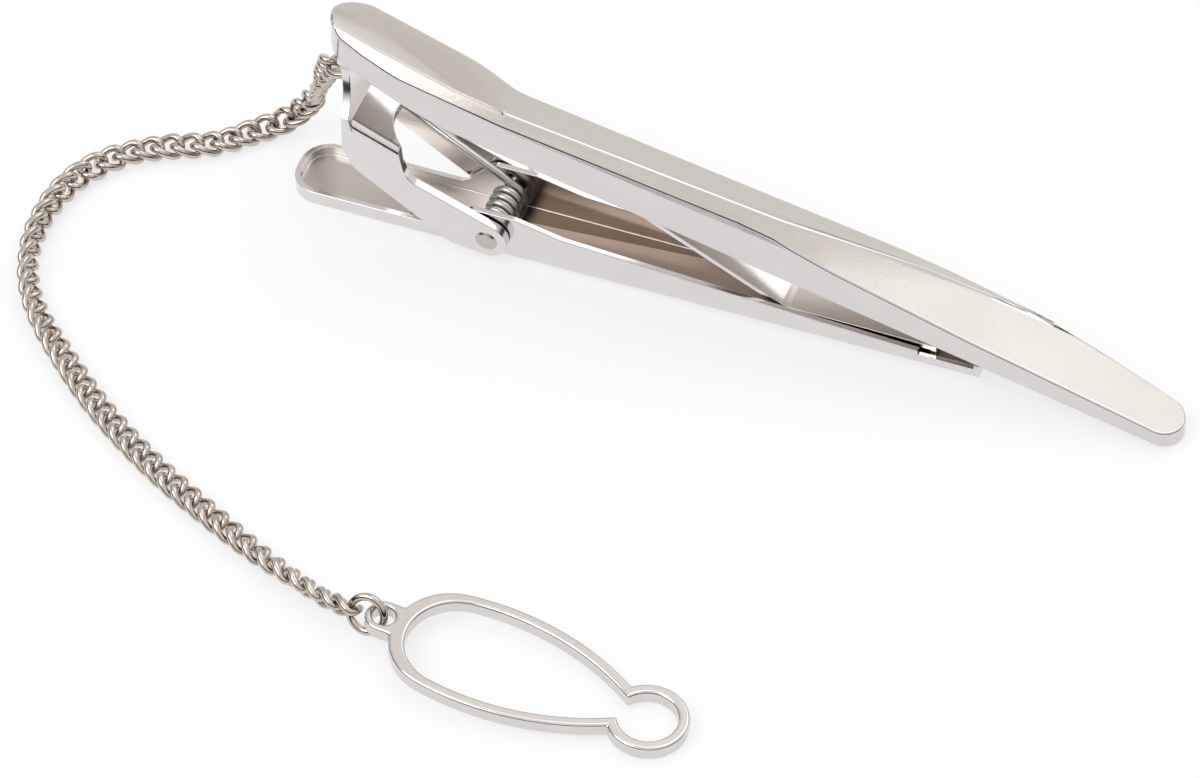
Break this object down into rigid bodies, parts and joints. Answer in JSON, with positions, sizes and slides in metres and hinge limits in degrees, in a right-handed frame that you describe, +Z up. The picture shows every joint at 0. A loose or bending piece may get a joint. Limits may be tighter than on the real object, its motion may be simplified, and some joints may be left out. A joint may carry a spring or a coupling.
{
  "type": "tie clip with button chain",
  "caption": "Sprung tie clip: a satin dress bar over a stamped lever that pinches the tie, with a curb chain and a keyhole loop that goes over a shirt button.",
  "frame": {"origin": "the point on the lever's underside straight below the pivot pin", "axes": "+X along the clip towards the bar's tip, +Y to the left as seen from the hinge, +Z up as it lies on a table with the lever below the bar"},
  "size_m": [0.0741, 0.0431, 0.0154],
  "materials": {
    "satin_plate": "satin",
    "bright_plate": "polished",
    "chain_plate": "polished",
    "spring_steel": "drawn wire",
    "pin_steel": "turned"
  },
  "bodies": {
    "front": {"front_bar": "satin_plate", "hinge_bracket": "bright_plate", "upper_jaw": "bright_plate", "pivot_pin": "pin_steel", "torsion_spring": "spring_steel", "chain_eye": "chain_plate"},
    "lever": {"lever": "bright_plate"},
    "chain_1": {"chain_links_01": "chain_plate", "chain_links_02": "chain_plate"},
    "chain_2": {"chain_links_03": "chain_plate", "chain_links_04": "chain_plate"},
    "chain_3": {"chain_links_05": "chain_plate", "chain_links_06": "chain_plate"},
    "chain_4": {"chain_links_07": "chain_plate", "chain_links_08": "chain_plate"},
    "chain_5": {"chain_links_09": "chain_plate", "chain_links_10": "chain_plate"},
    "chain_6": {"chain_links_11": "chain_plate", "chain_links_12": "chain_plate"},
    "chain_7": {"chain_links_13": "chain_plate", "chain_links_14": "chain_plate"},
    "ring": {"jump_ring": "chain_plate"},
    "loop": {"button_loop": "satin_plate"}
  },
  "joints": [
    {"name": "lever_pivot", "type": "hinge", "parent": "front", "child": "lever", "pos_m": [-0.00004, 0, 0.00163], "axis": [0, 1, 0], "range_deg": [0, 16], "stiffness_Nm_per_rad": 0.04, "springref_deg": -28.65, "deforming": ["torsion_spring"]},
    {"name": "chain_swing_1", "type": "hinge", "parent": "front", "child": "chain_1", "pos_m": [-0.01175, 0, 0.01047], "axis": [0, 0, 1], "range_deg": [-12, 12]},
    {"name": "chain_swing_2", "type": "hinge", "parent": "chain_1", "child": "chain_2", "pos_m": [-0.01508, 0.00329, 0.0019], "axis": [0, 0, -1], "range_deg": [-12, 12]},
    {"name": "chain_swing_3", "type": "hinge", "parent": "chain_2", "child": "chain_3", "pos_m": [-0.02304, -0.00187, 0.00026], "axis": [0, 0, 1], "range_deg": [-12, 12]},
    {"name": "chain_swing_4", "type": "hinge", "parent": "chain_3", "child": "chain_4", "pos_m": [-0.02741, -0.01052, 0.00027], "axis": [0, 0, -1], "range_deg": [-12, 12]},
    {"name": "chain_swing_5", "type": "hinge", "parent": "chain_4", "child": "chain_5", "pos_m": [-0.02302, -0.01939, 0.00027], "axis": [0, 0, 1], "range_deg": [-12, 12]},
    {"name": "chain_swing_6", "type": "hinge", "parent": "chain_5", "child": "chain_6", "pos_m": [-0.01503, -0.02572, 0.00027], "axis": [0, 0, -1], "range_deg": [-12, 12]},
    {"name": "chain_swing_7", "type": "hinge", "parent": "chain_6", "child": "chain_7", "pos_m": [-0.00604, -0.03056, 0.00026], "axis": [0, 0, 1], "range_deg": [-12, 12]},
    {"name": "ring_swing", "type": "hinge", "parent": "chain_7", "child": "ring", "pos_m": [0.00315, -0.03404, 0.00098], "axis": [0, 0, 1], "range_deg": [-15, 15]},
    {"name": "loop_swing", "type": "hinge", "parent": "ring", "child": "loop", "pos_m": [0.00544, -0.0342, 0.00098], "axis": [0, 0, 1], "range_deg": [-45, 45]}
  ]
}
